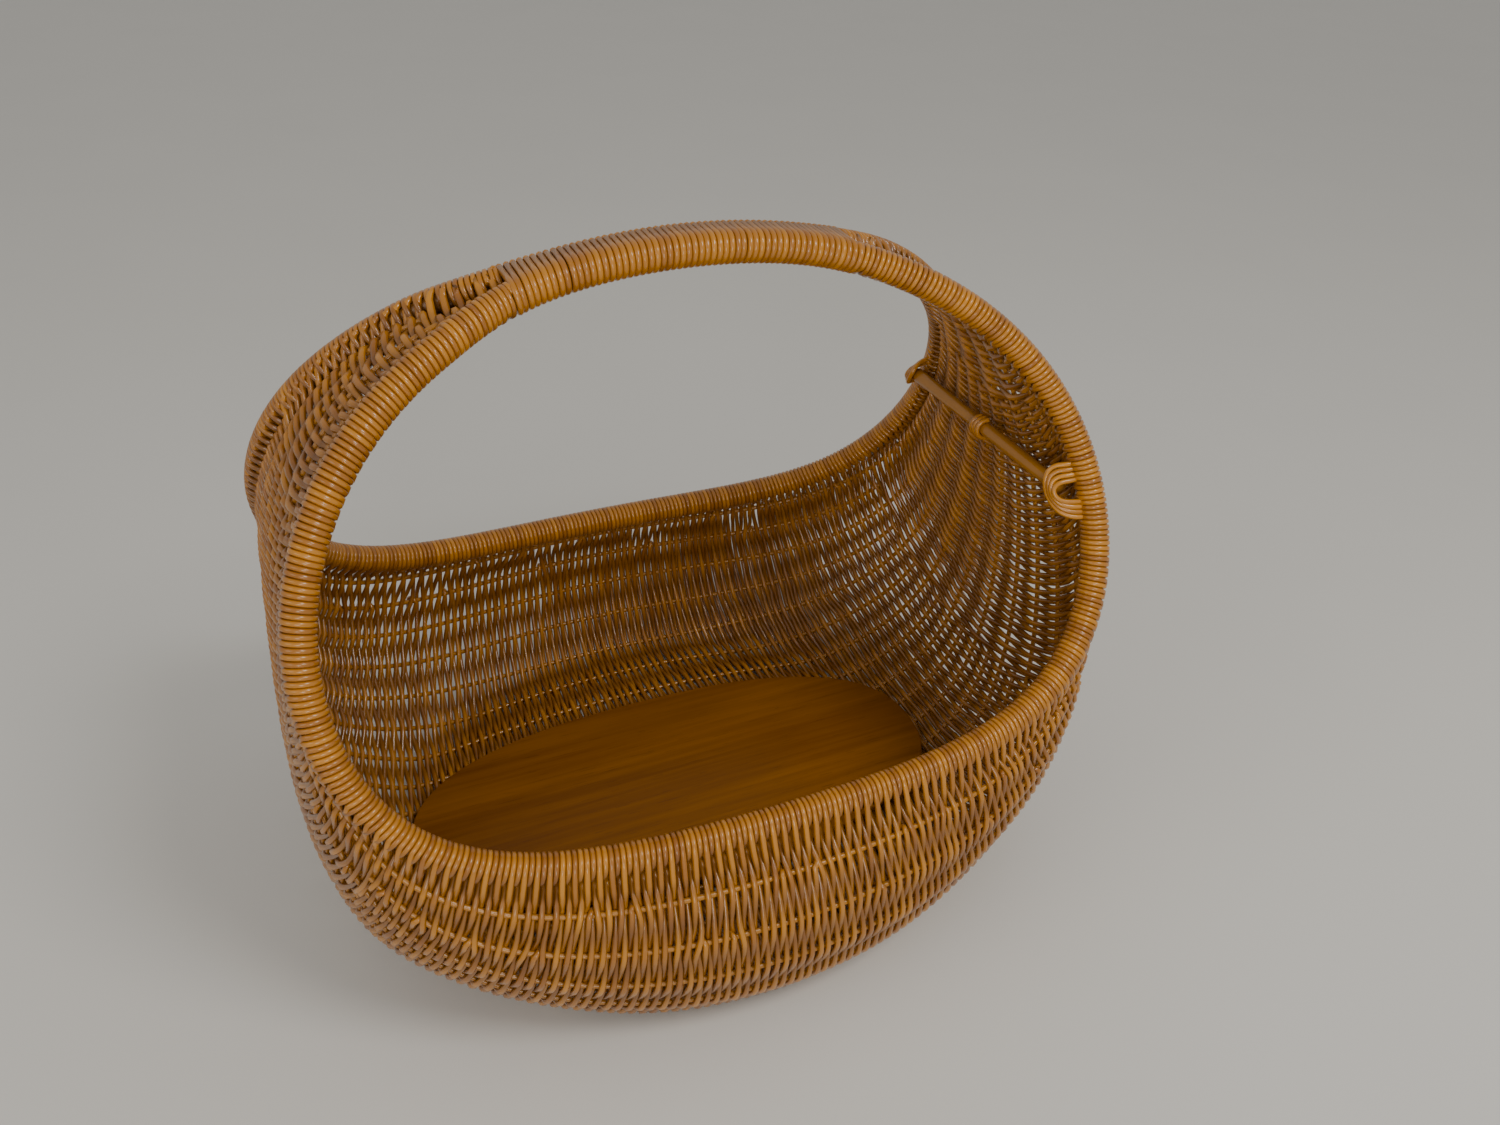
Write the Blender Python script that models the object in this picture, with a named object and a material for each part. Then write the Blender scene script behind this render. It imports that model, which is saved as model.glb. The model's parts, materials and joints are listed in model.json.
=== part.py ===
"""Oval wicker pet basket with an arched handle, built as a rib basket is.

Two closed rattan hoops stand side by side. At the top they lie together as the
handle, and below they part to become the low front and rear rims. Ribs run
lengthways between them, and the weave wraps the hoops and encloses the ribs.

Frame: origin on the floor under the middle of the basket, X along its length,
-Y towards its front rim, Z up. Metres.

A place on a hoop is given by its turn t, from 0 at the top of the handle to
pi at the lowest point of the rim. A row of the weave leaves each hoop at the
same t, so t also names a row.
"""

import math

import bmesh
import bpy
import numpy as np

# Stock the basket is made of
POLE_D = 0.017  # hoops
RIB_D = 0.005
STRAND_D = 0.0047  # round core that weaves and wraps
BRACE_D = 0.0136
FIT_GAP = 0.0003
HOOP_SLACK = 0.0011  # the weave turns about the hoops as it follows them

# Hoops: the height of three points, the half length, and small corrections to an ellipse
HANDLE_TOP_Z = 0.597
RIM_LOW_Z = 0.203
RIM_SIDE_Z = 0.336
HOOP_SQUARE_Z = -0.008
HOOP_HALF_LENGTH = 0.340
HOOP_SHOULDER = 0.017
HOOP_SQUARE_X = 0.003
HANDLE_HALF_GAP = 0.0105  # from the middle plane to each pole at the handle
RIM_HALF_WIDTH = 0.243
SPREAD_EARLY = 0.135
SPREAD_START = 0.60  # the turn at which the hoops stop hugging each other

# Middle line of the weave, seen from the front: the handle's end, round the end of
# the basket, and down under the floor level, which presses it flat
SPINE_POINTS = (
    (0.137, 0.579), (0.228, 0.541), (0.293, 0.477), (0.328, 0.399),
    (0.347, 0.318), (0.358, 0.207), (0.353, 0.125), (0.332, 0.060),
    (0.273, 0.003), (0.196, -0.043), (0.100, -0.078), (0.000, -0.088),
)
FLOOR_ROUNDING = 0.016

# Cross-section of the weave at the handle's ends and at the middle of the basket
OVER_END, OVER_MIDDLE = math.radians(45), math.radians(120)
ROUND_END, ROUND_MIDDLE = 2.05, 2.10
BELLY = 0.010

WRAP_END_T = 0.370  # the handle's binding ends here
WALL_START_T = 0.382
WALL_STATIONS = 35
BEND_WEIGHT = 0.15  # metres of length that one radian of bend counts for
HANDLE_STATIONS = 9
RIBS_EACH_SIDE = 10
RIB_ROOM = 3.8  # rib diameters that each rib has to itself where it ends
FIRST_RIB_SHARE = 0.75  # of a rib spacing, between the rim and the first rib
RIM_ARC = math.radians(150)
RIM_ARC_POINTS = 7
HANDLE_ARC_POINTS = 5

# Floor board
BOARD_HALF_LENGTH = 0.2734
BOARD_HALF_WIDTH = 0.1304
BOARD_POWER = 2.43  # 2 is an ellipse, more is squarer
BOARD_TOP_Z = 0.0275
BOARD_THICKNESS = 0.006
BOARD_CORNERS = 64

# Brace across the right end
BRACE_T = 1.373
BINDING_LENGTH = 0.030
ROUND_SIDES = 12

# Worked out from the above
WRAP_R = POLE_D / 2 + STRAND_D  # a wrapped hoop
WALL_HALF = RIB_D / 2 + STRAND_D  # the weave, either side of its middle surface
CAVITY_HALF = RIB_D / 2 + FIT_GAP
RIM_INSET = -WRAP_R * math.cos(RIM_ARC) + FIT_GAP
RIB_COUNT = 2 * RIBS_EACH_SIDE + 1
SPACINGS = RIB_COUNT - 1 + 2 * FIRST_RIB_SHARE

RATTAN = (0.42, 0.20, 0.055)
RATTAN_WRAP = (0.47, 0.235, 0.065)
RIB_WOOD = (0.36, 0.16, 0.045)
PLYWOOD = (0.20, 0.075, 0.012)


def clear_scene():
    for obj in list(bpy.data.objects):
        bpy.data.objects.remove(obj, do_unlink=True)


def make_material(name, colour, roughness):
    material = bpy.data.materials.new(name)
    material.use_nodes = True
    shader = material.node_tree.nodes["Principled BSDF"]
    shader.inputs["Base Color"].default_value = (*colour, 1.0)
    shader.inputs["Roughness"].default_value = roughness
    shader.inputs["Metallic"].default_value = 0.0
    return material


# ---------------------------------------------------------------- curves


def hoop_point(t, side):
    """A point of a hoop's centre line; side is -1 for the front hoop and 1 for the rear one."""
    x = HOOP_HALF_LENGTH * math.sin(t) + HOOP_SHOULDER * math.sin(2 * t) + HOOP_SQUARE_X * math.sin(3 * t)
    mean = (HANDLE_TOP_Z + RIM_LOW_Z + 2 * RIM_SIDE_Z) / 4
    first = (HANDLE_TOP_Z - RIM_LOW_Z) / 2 - HOOP_SQUARE_Z
    second = (HANDLE_TOP_Z + RIM_LOW_Z - 2 * RIM_SIDE_Z) / 4
    z = mean + first * math.cos(t) + second * math.cos(2 * t) + HOOP_SQUARE_Z * math.cos(3 * t)
    folded = math.pi - abs(math.pi - t % (2 * math.pi))
    ramp = min(folded / SPREAD_START, 1.0)
    turn = folded * ramp * ramp * (3 - 2 * ramp)
    share = math.sin(turn / 2) ** 2 + SPREAD_EARLY * math.sin(turn) ** 2
    y = HANDLE_HALF_GAP + (RIM_HALF_WIDTH - HANDLE_HALF_GAP) * share
    return np.array((x, side * y, z))


def smooth_path(points, steps=24):
    """A centripetal Catmull-Rom curve through the points."""
    given = np.array(points, float)
    padded = np.vstack((2 * given[0] - given[1], given, 2 * given[-1] - given[-2]))
    found = []
    for a, b, c, d in zip(padded, padded[1:], padded[2:], padded[3:]):
        tb = np.linalg.norm(b - a) ** 0.5
        tc = tb + np.linalg.norm(c - b) ** 0.5
        td = tc + np.linalg.norm(d - c) ** 0.5
        for step in range(steps):
            t = tb + (tc - tb) * step / steps
            ab = ((tb - t) * a + t * b) / tb
            bc = ((tc - t) * b + (t - tb) * c) / (tc - tb)
            cd = ((td - t) * c + (t - tc) * d) / (td - tc)
            abc = ((tc - t) * ab + t * bc) / tc
            bcd = ((td - t) * bc + (t - tb) * cd) / (td - tb)
            found.append(((tc - t) * abc + (t - tb) * bcd) / (tc - tb))
    found.append(given[-1])
    return np.array(found)


def lengths_along(path):
    return np.concatenate(([0.0], np.cumsum(np.linalg.norm(np.diff(path, axis=0), axis=1))))


def rest_on_floor(z):
    """Heights near or under the floor pressed up to the lowest that the weave can lie."""
    over = z - WALL_HALF
    rounded = np.clip(over + FLOOR_ROUNDING, 0.0, 2 * FLOOR_ROUNDING) ** 2 / (4 * FLOOR_ROUNDING)
    return WALL_HALF + np.where(over < FLOOR_ROUNDING, rounded, over)


SPINE = smooth_path(SPINE_POINTS)
SPINE_LENGTHS = lengths_along(np.stack((SPINE[:, 0], rest_on_floor(SPINE[:, 1])), axis=1))
HOOP_TURNS = np.linspace(WALL_START_T, math.pi, 400)
HOOP_LENGTHS = lengths_along(np.array([hoop_point(t, 1) for t in HOOP_TURNS]))


def row_of_weave(t):
    """A dense path on the weave's middle surface from the front hoop to the rear hoop."""
    mirrored = -1 if t > math.pi else 1
    t = math.pi - abs(math.pi - t)
    start = hoop_point(t, 1)
    share = np.interp(t, HOOP_TURNS, HOOP_LENGTHS) / HOOP_LENGTHS[-1]
    low_x = np.interp(share * SPINE_LENGTHS[-1], SPINE_LENGTHS, SPINE[:, 0])
    low_z = np.interp(share * SPINE_LENGTHS[-1], SPINE_LENGTHS, SPINE[:, 1])
    mid = min(max((math.sin(t / 2) ** 2 - 0.3) / 0.7, 0.0), 1.0)
    power = 2 / (ROUND_END + (ROUND_MIDDLE - ROUND_END) * mid)
    over = OVER_END + (OVER_MIDDLE - OVER_END) * mid
    angle = np.linspace(-over, over, 241)
    across = np.sign(angle) * np.abs(np.sin(angle)) ** power
    height = -np.sign(np.cos(angle)) * np.abs(np.cos(angle)) ** power
    sink = (height[-1] - height) / (height[-1] + 1)
    bulge = BELLY * 4 * sink * (1 - sink) * min(start[1] / 0.1, 1.0)
    x = start[0] + sink * (low_x - start[0])
    y = start[1] * across / across[-1] + np.sign(angle) * bulge
    z = rest_on_floor(start[2] + sink * (low_z - start[2]))
    return np.stack((mirrored * x, y, z), axis=1)


def rib_places(length):
    """Distances along a row from the front hoop: the rim's edge, each rib, the far rim's edge."""
    spacing = (length - 2 * RIM_INSET) / SPACINGS
    return RIM_INSET + spacing * (FIRST_RIB_SHARE + np.arange(RIB_COUNT)), spacing


def station_turns():
    """Stations at equal steps of the spine's length plus its bending, so they crowd at its corners."""
    turns = np.linspace(WALL_START_T, 2 * math.pi - WALL_START_T, 401)
    spine = np.array([row[len(row) // 2] for row in map(row_of_weave, turns)])
    steps = np.diff(spine, axis=0)
    lengths = np.linalg.norm(steps, axis=1)
    headings = steps / lengths[:, None]
    bends = np.linalg.norm(np.diff(headings, axis=0), axis=1)
    measure = lengths + BEND_WEIGHT * np.concatenate(([bends[0]], bends))
    run = np.concatenate(([0.0], np.cumsum(measure)))
    return np.interp(np.linspace(0.0, run[-1], WALL_STATIONS), run, turns)


class WeaveGrid:
    """The weave's middle surface at its stations: rib points, their normals, and the hoops."""

    def __init__(self):
        self.turns = station_turns()
        self.points = []
        self.spacings = []
        for t in self.turns:
            row = row_of_weave(t)
            run = lengths_along(row)
            places, spacing = rib_places(run[-1])
            places = np.concatenate(([0.0], places, [run[-1]]))
            self.points.append(np.stack([np.interp(places, run, row[:, k]) for k in range(3)], axis=1))
            self.spacings.append(spacing)
        self.points = np.array(self.points)
        along_ribs = np.gradient(self.points, axis=0)
        along_row = np.gradient(self.points, axis=1)
        normals = np.cross(along_ribs, along_row)
        self.normals = normals / np.linalg.norm(normals, axis=2)[:, :, None]
        self.along_ribs = along_ribs / np.linalg.norm(along_ribs, axis=2)[:, :, None]
        middle = self.normals[WALL_STATIONS // 2, RIBS_EACH_SIDE + 1]
        if middle[2] > 0:
            self.normals = -self.normals

    def section(self, station, half, radius):
        """A closed loop round the weave and both hoops, at this distance from its middle surface."""
        points = self.points[station]
        normals = self.normals[station]
        loop = list(points[1:-1] + half * normals[1:-1])
        for end in (-1, 0):
            away = np.cross(self.along_ribs[station, end], normals[end])
            if np.dot(away, points[end] - points[end + (1 if end == 0 else -1)]) < 0:
                away = -away
            turns = np.linspace(RIM_ARC, -RIM_ARC, RIM_ARC_POINTS) * (1 if end == -1 else -1)
            for turn in turns:
                loop.append(points[end] + radius * (math.cos(turn) * away + math.sin(turn) * normals[end]))
            if end == -1:
                loop.extend((points[1:-1] - half * normals[1:-1])[::-1])
        return loop


# ---------------------------------------------------------------- solids


def add_object(name, mesh, material, smooth_angle=math.radians(50)):
    obj = bpy.data.objects.new(name, mesh)
    bpy.context.scene.collection.objects.link(obj)
    mesh.materials.append(material)
    mesh.shade_smooth()
    mesh.set_sharp_from_angle(angle=smooth_angle)
    return obj


def loft_sleeve(name, outer_loops, inner_loops, material):
    """A hollow sleeve, open at both ends: two lofted skins joined by a ring at each end."""
    bm = bmesh.new()
    skins = []
    for loops in (outer_loops, inner_loops):
        skins.append([[bm.verts.new(point) for point in loop] for loop in loops])
    around = len(outer_loops[0])
    for skin in skins:
        for near, far in zip(skin, skin[1:]):
            for k in range(around):
                n = (k + 1) % around
                bm.faces.new((near[k], near[n], far[n], far[k]))
    for end in (0, -1):
        for k in range(around):
            n = (k + 1) % around
            bm.faces.new((skins[0][end][k], skins[0][end][n], skins[1][end][n], skins[1][end][k]))
    bmesh.ops.recalc_face_normals(bm, faces=bm.faces)
    mesh = bpy.data.meshes.new(name)
    bm.to_mesh(mesh)
    bm.free()
    return add_object(name, mesh, material)


def add_rod(name, points, diameter, material, closed=False, resolution=2):
    """A round rod along the points, with its ends capped."""
    curve = bpy.data.curves.new(name, "CURVE")
    curve.dimensions = "3D"
    curve.bevel_depth = diameter / 2
    curve.bevel_resolution = resolution
    curve.use_fill_caps = not closed
    spline = curve.splines.new("POLY")
    spline.points.add(len(points) - 1)
    for target, point in zip(spline.points, points):
        target.co = (*point, 1.0)
    spline.use_cyclic_u = closed
    obj = bpy.data.objects.new(name, curve)
    bpy.context.scene.collection.objects.link(obj)
    curve.materials.append(material)
    return obj


def ring_of_points(centre, radius, axis_a, axis_b, count):
    turns = [2 * math.pi * k / count for k in range(count)]
    return [centre + radius * (math.cos(a) * axis_a + math.sin(a) * axis_b) for a in turns]


# ---------------------------------------------------------------- pieces


def make_hoops(grid, material):
    """The two rim hoops share the weave's stations, so that the weave fits round them."""
    handle = np.linspace(-WALL_START_T, WALL_START_T, HANDLE_STATIONS)[1:-1]
    for name, side in (("front_rim_hoop", -1), ("rear_rim_hoop", 1)):
        points = [hoop_point(t, side) for t in grid.turns]
        points += [hoop_point(t, side) for t in handle]
        add_rod(name, points, POLE_D, material, closed=True)


def rib_stride(offset):
    """How many rib spacings a rib has to itself past its shorter neighbours; the shortest ones stop sooner."""
    for every, stride in ((16, 16), (8, 8), (4, 4), (2, 2)):
        if offset % every == 0:
            return stride
    return 0.75


def make_ribs(grid, material):
    """Each rib stops where the narrowing band leaves it no room beside its neighbours."""
    room = RIB_ROOM * RIB_D
    for index in range(1, RIB_COUNT + 1):
        offset = index - (RIBS_EACH_SIDE + 1)
        stations = [
            station
            for station in range(1, WALL_STATIONS - 1)
            if grid.spacings[station] * rib_stride(offset) > room
        ]
        points = grid.points[stations[0] : stations[-1] + 1, index]
        if offset == 0:
            name = "spine_rib"
        else:
            name = f"rib_{'rear' if offset > 0 else 'front'}_{abs(offset):02d}"
        add_rod(name, points, RIB_D, material, resolution=0)


def make_wall(grid, material):
    cavity_r = (POLE_D / 2 + HOOP_SLACK) / math.cos(RIM_ARC / (RIM_ARC_POINTS - 1))
    stations = range(WALL_STATIONS)
    outer = [grid.section(station, WALL_HALF, WRAP_R) for station in stations]
    inner = [grid.section(station, CAVITY_HALF, cavity_r) for station in stations]
    loft_sleeve("woven_wall", outer, inner, material)


def make_handle_wrap(material):
    """One binding round both poles, flat on top and below."""
    cavity_r = (POLE_D / 2 + FIT_GAP) / math.cos(math.pi / 2 / (HANDLE_ARC_POINTS - 1))
    turns = np.linspace(-WRAP_END_T, WRAP_END_T, HANDLE_STATIONS)
    across = np.array((0.0, 1.0, 0.0))
    loops = {WRAP_R: [], cavity_r: []}
    for t in turns:
        tangent = hoop_point(t + 0.01, 1) - hoop_point(t - 0.01, 1)
        up = np.cross(tangent, across)
        up = up / np.linalg.norm(up)
        for radius, sections in loops.items():
            section = []
            for side in (1, -1):
                for a in np.linspace(math.pi / 2, -math.pi / 2, HANDLE_ARC_POINTS):
                    reach = side * math.cos(a) * across + side * math.sin(a) * up
                    section.append(hoop_point(t, side) + radius * reach)
            sections.append(section)
    loft_sleeve("handle_wrap", loops[WRAP_R], loops[cavity_r], material)


def make_floor_board(material):
    bm = bmesh.new()
    corners = []
    for k in range(BOARD_CORNERS):
        a = 2 * math.pi * k / BOARD_CORNERS
        c, s = math.cos(a), math.sin(a)
        x = BOARD_HALF_LENGTH * math.copysign(abs(c) ** (2 / BOARD_POWER), c)
        y = BOARD_HALF_WIDTH * math.copysign(abs(s) ** (2 / BOARD_POWER), s)
        corners.append(bm.verts.new((x, y, BOARD_TOP_Z - BOARD_THICKNESS)))
    bottom = bm.faces.new(corners)
    raised = bmesh.ops.extrude_face_region(bm, geom=[bottom])["geom"]
    top = [item for item in raised if isinstance(item, bmesh.types.BMVert)]
    bmesh.ops.translate(bm, vec=(0, 0, BOARD_THICKNESS), verts=top)
    bmesh.ops.recalc_face_normals(bm, faces=bm.faces)
    mesh = bpy.data.meshes.new("floor_board")
    bm.to_mesh(mesh)
    bm.free()
    add_object("floor_board", mesh, material, math.radians(30))


def make_brace(name, pole_material, binding_material):
    """A straight pole lashed inside the right end, to both hoops and to the spine rib."""
    hoop = hoop_point(BRACE_T, 1)
    clear = WRAP_R + BRACE_D / 2 + STRAND_D + 2 * FIT_GAP
    x = hoop[0] - clear
    z = hoop[2]
    half = hoop[1] + BRACE_D / 2
    add_rod(name, [(x, -half, z), (x, half, z)], BRACE_D, pole_material, resolution=4)
    axis_a = np.array((1.0, 0.0, 0.0))
    axis_b = np.array((0.0, 0.0, 1.0))
    inner_r = (BRACE_D / 2 + FIT_GAP) / math.cos(math.pi / ROUND_SIDES)
    outer_r = BRACE_D / 2 + STRAND_D - FIT_GAP
    rim_place = hoop[1] - BINDING_LENGTH / 2
    for part, middle in (("front", -rim_place), ("spine", 0.0), ("rear", rim_place)):
        rings = {inner_r: [], outer_r: []}
        for end in (-0.5, 0.5):
            centre = np.array((x, middle + end * BINDING_LENGTH, z))
            for radius, loops in rings.items():
                loops.append(ring_of_points(centre, radius, axis_a, axis_b, ROUND_SIDES))
        loft_sleeve(f"{name}_{part}_binding", rings[outer_r], rings[inner_r], binding_material)


def main():
    clear_scene()
    rattan = make_material("woven rattan", RATTAN, 0.35)
    wrap = make_material("wrapping cane", RATTAN_WRAP, 0.28)
    wood = make_material("rattan pole", RIB_WOOD, 0.4)
    plywood = make_material("varnished plywood", PLYWOOD, 0.45)
    grid = WeaveGrid()
    make_hoops(grid, wood)
    make_ribs(grid, wood)
    make_wall(grid, rattan)
    make_handle_wrap(wrap)
    make_floor_board(plywood)
    make_brace("right_brace", wood, wrap)


main()
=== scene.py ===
"""Wicker pet basket with an arched handle: the woven, wrapped and varnished model.

Run as a script, it loads the basket's frame and makes each piece round it.
"""

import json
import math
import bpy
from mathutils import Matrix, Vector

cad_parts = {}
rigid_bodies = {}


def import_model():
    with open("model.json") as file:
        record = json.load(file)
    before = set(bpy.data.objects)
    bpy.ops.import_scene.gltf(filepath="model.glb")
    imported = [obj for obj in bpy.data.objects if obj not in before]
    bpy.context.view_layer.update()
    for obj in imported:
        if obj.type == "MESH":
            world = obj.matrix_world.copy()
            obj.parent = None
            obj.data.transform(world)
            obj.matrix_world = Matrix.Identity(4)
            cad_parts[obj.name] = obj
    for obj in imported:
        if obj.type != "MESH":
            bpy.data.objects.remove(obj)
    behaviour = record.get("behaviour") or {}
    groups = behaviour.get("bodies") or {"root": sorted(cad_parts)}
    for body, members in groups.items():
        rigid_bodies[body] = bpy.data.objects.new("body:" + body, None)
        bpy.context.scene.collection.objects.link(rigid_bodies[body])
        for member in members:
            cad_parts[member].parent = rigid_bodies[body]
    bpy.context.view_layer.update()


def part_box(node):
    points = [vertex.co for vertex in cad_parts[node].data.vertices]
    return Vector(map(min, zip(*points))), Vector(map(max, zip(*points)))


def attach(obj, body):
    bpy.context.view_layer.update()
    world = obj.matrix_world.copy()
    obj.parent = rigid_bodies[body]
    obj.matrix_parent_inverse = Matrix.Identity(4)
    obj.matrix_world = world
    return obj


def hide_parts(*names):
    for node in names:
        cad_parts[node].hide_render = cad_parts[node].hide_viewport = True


bl_info = {
    "name": "Wicker Pet Basket",
    "version": (1, 0, 0),
    "blender": (4, 5, 0),
    "location": "View3D > Sidebar > Basket",
    "description": "Weaves, wraps and varnishes an oval wicker pet basket with an arched handle",
    "category": "Object",
}

import bpy
import numpy as np
from bpy.props import FloatProperty, FloatVectorProperty, IntProperty, PointerProperty
from mathutils import Matrix, Vector

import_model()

# The two hoops, as the frame has them: an ellipse with small corrections
HANDLE_TOP_Z = 0.597
RIM_LOW_Z = 0.203
RIM_SIDE_Z = 0.336
HOOP_SQUARE_Z = -0.008
HOOP_HALF_LENGTH = 0.340
HOOP_SHOULDER = 0.017
HOOP_SQUARE_X = 0.003
HANDLE_HALF_GAP = 0.0105
RIM_HALF_WIDTH = 0.243
SPREAD_EARLY = 0.135
SPREAD_START = 0.60

# Middle line of the weave under the basket, seen from the front
SPINE_POINTS = (
    (0.137, 0.579), (0.228, 0.541), (0.293, 0.477), (0.328, 0.399),
    (0.347, 0.318), (0.358, 0.207), (0.353, 0.125), (0.332, 0.060),
    (0.273, 0.003), (0.196, -0.043), (0.100, -0.078), (0.000, -0.088),
)
FLOOR_ROUNDING = 0.016
OVER_END, OVER_MIDDLE = math.radians(45), math.radians(120)
ROUND_END, ROUND_MIDDLE = 2.05, 2.10
BELLY = 0.010
WALL_HALF = 0.0072

WRAP_END_T = 0.370
WALL_START_T = 0.382
RIM_INSET = 0.01173
RIBS_EACH_SIDE = 10
RIB_COUNT = 2 * RIBS_EACH_SIDE + 1
FIRST_RIB_SHARE = 0.75
SPACINGS = RIB_COUNT - 1 + 2 * FIRST_RIB_SHARE
RIB_ROOM = 0.019
BOARD_POWER = 2.43
BRACE_T = 1.373

# How the strands of the wall lie
RIM_LEAN = 0.0015
RIM_LEAVE, RIM_TUCK = math.radians(106), math.radians(184)
RIM_REACH = math.radians(74)
WEAVE_PRESS = 0.76
WEAVE_FLAT = 0.55
WALL_STEP = 0.0068
SWELL_LEAST, SWELL_MOST = 0.98, 1.26
RIM_TURNS_PER_GROUP, WALL_ROWS_PER_GROUP = 8, 10
GROUP_PITCH = RIM_TURNS_PER_GROUP / WALL_ROWS_PER_GROUP
RIBS_FOR_EXTRA_STRANDS = 6
SWAY, SWAY_ROWS, SWAY_JITTER = 0.0013, 9, 0.0004


# ---------------------------------------------------------------- settings


class BasketSizes(bpy.types.PropertyGroup):
    strand_diameter: FloatProperty(
        name="Strand", description="Round core that weaves and wraps", default=0.0049, unit="LENGTH"
    )
    row_pitch: FloatProperty(
        name="Row pitch", description="From one row of the weave to the next", default=0.0047, unit="LENGTH"
    )
    rib_diameter: FloatProperty(
        name="Rib", description="Ribs inside the weave", default=0.005, unit="LENGTH"
    )
    pole_diameter: FloatProperty(
        name="Hoop pole", description="The two rim hoops", default=0.017, unit="LENGTH"
    )
    handle_pitch: FloatProperty(
        name="Handle pitch",
        description="From one turn of the handle binding to the next",
        default=0.0051,
        unit="LENGTH",
    )
    strand_sides: IntProperty(
        name="Strand sides", description="Faces round each strand", default=6, min=5, max=10
    )


def colour_property(name, description, default):
    return FloatVectorProperty(name=name, description=description, subtype="COLOR", size=3, default=default)


def power_property(name, description, default):
    return FloatProperty(name=name, description=description, default=default, unit="POWER")


class BasketFinish(bpy.types.PropertyGroup):
    cane_light: colour_property("Light cane", "Paler strands", (0.50, 0.205, 0.010))
    cane_dark: colour_property("Dark cane", "Darker strands", (0.26, 0.088, 0.004))
    # The crevice colour is painted shade: it darkens the strands where they lie deep in the weave.
    crevice_shade: colour_property("Crevice shade", "Painted shade between the strands", (0.085, 0.026, 0.001))
    pole: colour_property("Pole", "Smooth rattan poles", (0.40, 0.165, 0.009))
    board_light: colour_property("Board, light grain", "Light grain of the floor board", (0.29, 0.104, 0.0004))
    board_dark: colour_property("Board, dark grain", "Dark grain of the floor board", (0.12, 0.034, 0.0002))


class BasketStage(bpy.types.PropertyGroup):
    floor_colour: colour_property("Floor", "Plain pale floor", (0.62, 0.62, 0.60))
    front_power: power_property("Front light", "Soft light low in front", 18.0)
    key_power: power_property("Key light", "Soft light above the front", 36.0)
    fill_power: power_property("Fill light", "Soft light from the left", 12.0)


# ---------------------------------------------------------------- the basket's surface


def hoop_point(t, side):
    """A hoop's centre line at the turn t from the top of the handle; side is -1 for the front hoop."""
    x = HOOP_HALF_LENGTH * math.sin(t) + HOOP_SHOULDER * math.sin(2 * t) + HOOP_SQUARE_X * math.sin(3 * t)
    mean = (HANDLE_TOP_Z + RIM_LOW_Z + 2 * RIM_SIDE_Z) / 4
    first = (HANDLE_TOP_Z - RIM_LOW_Z) / 2 - HOOP_SQUARE_Z
    second = (HANDLE_TOP_Z + RIM_LOW_Z - 2 * RIM_SIDE_Z) / 4
    z = mean + first * math.cos(t) + second * math.cos(2 * t) + HOOP_SQUARE_Z * math.cos(3 * t)
    folded = math.pi - abs(math.pi - t % (2 * math.pi))
    ramp = min(folded / SPREAD_START, 1.0)
    turn = folded * ramp * ramp * (3 - 2 * ramp)
    share = math.sin(turn / 2) ** 2 + SPREAD_EARLY * math.sin(turn) ** 2
    y = HANDLE_HALF_GAP + (RIM_HALF_WIDTH - HANDLE_HALF_GAP) * share
    return np.array((x, side * y, z))


def smooth_path(points, steps=24):
    """A centripetal Catmull-Rom curve through the points."""
    given = np.array(points, float)
    padded = np.vstack((2 * given[0] - given[1], given, 2 * given[-1] - given[-2]))
    found = []
    for a, b, c, d in zip(padded, padded[1:], padded[2:], padded[3:]):
        tb = np.linalg.norm(b - a) ** 0.5
        tc = tb + np.linalg.norm(c - b) ** 0.5
        td = tc + np.linalg.norm(d - c) ** 0.5
        for step in range(steps):
            t = tb + (tc - tb) * step / steps
            ab = ((tb - t) * a + t * b) / tb
            bc = ((tc - t) * b + (t - tb) * c) / (tc - tb)
            cd = ((td - t) * c + (t - tc) * d) / (td - tc)
            abc = ((tc - t) * ab + t * bc) / tc
            bcd = ((td - t) * bc + (t - tb) * cd) / (td - tb)
            found.append(((tc - t) * abc + (t - tb) * bcd) / (tc - tb))
    found.append(given[-1])
    return np.array(found)


def lengths_along(path):
    return np.concatenate(([0.0], np.cumsum(np.linalg.norm(np.diff(path, axis=0), axis=1))))


def rest_on_floor(z):
    """Heights near or under the floor pressed up to the lowest that the weave can lie."""
    over = z - WALL_HALF
    rounded = np.clip(over + FLOOR_ROUNDING, 0.0, 2 * FLOOR_ROUNDING) ** 2 / (4 * FLOOR_ROUNDING)
    return WALL_HALF + np.where(over < FLOOR_ROUNDING, rounded, over)


SPINE = smooth_path(SPINE_POINTS)
SPINE_LENGTHS = lengths_along(np.stack((SPINE[:, 0], rest_on_floor(SPINE[:, 1])), axis=1))
HOOP_TURNS = np.linspace(WALL_START_T, math.pi, 400)
HOOP_LENGTHS = lengths_along(np.array([hoop_point(t, 1) for t in HOOP_TURNS]))


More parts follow.
